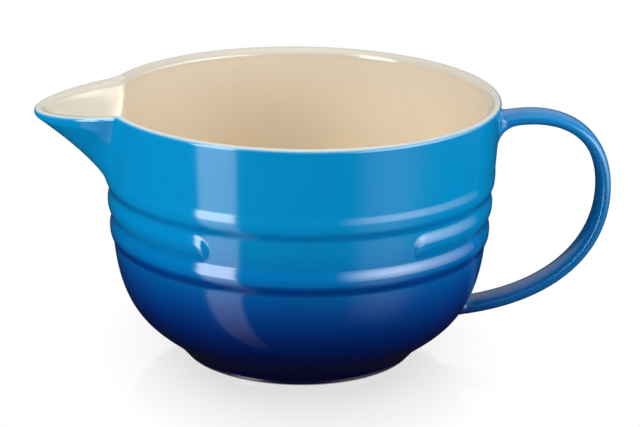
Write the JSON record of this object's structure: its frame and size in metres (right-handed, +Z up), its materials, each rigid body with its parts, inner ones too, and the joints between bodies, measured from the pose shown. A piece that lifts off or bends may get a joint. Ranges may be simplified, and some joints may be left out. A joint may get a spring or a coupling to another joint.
{
  "type": "batter bowl",
  "caption": "Deep ribbed stoneware mixing bowl with an open pouring beak on one side, a strap handle opposite, and a foot ring; blue glaze outside, cream inside.",
  "frame": {"origin": "on the table under the foot, halfway between the beak's tip and the back of the handle; the bowl's own axis stands 12.8 mm towards the beak", "axes": "+X from the beak towards the handle, +Y away from the side with the plain field in the middle rib, +Z up"},
  "size_m": [0.2916, 0.2, 0.133],
  "materials": {
    "clay": "bare fired stoneware, matt and slightly rough",
    "slip": "fired slip, matt",
    "blue_glaze": "glossy glaze, azure above running to deep navy at the foot",
    "cream_glaze": "glossy cream glaze"
  },
  "bodies": {
    "root": {"bowl": "clay", "spout": "clay", "handle": "clay", "spout_joint": "slip", "upper_handle_joint": "slip", "lower_handle_joint": "slip", "bowl_outer_glaze": "blue_glaze", "spout_outer_glaze": "blue_glaze", "handle_glaze": "blue_glaze", "bowl_inner_glaze": "cream_glaze", "spout_inner_glaze": "cream_glaze"}
  },
  "joints": []
}
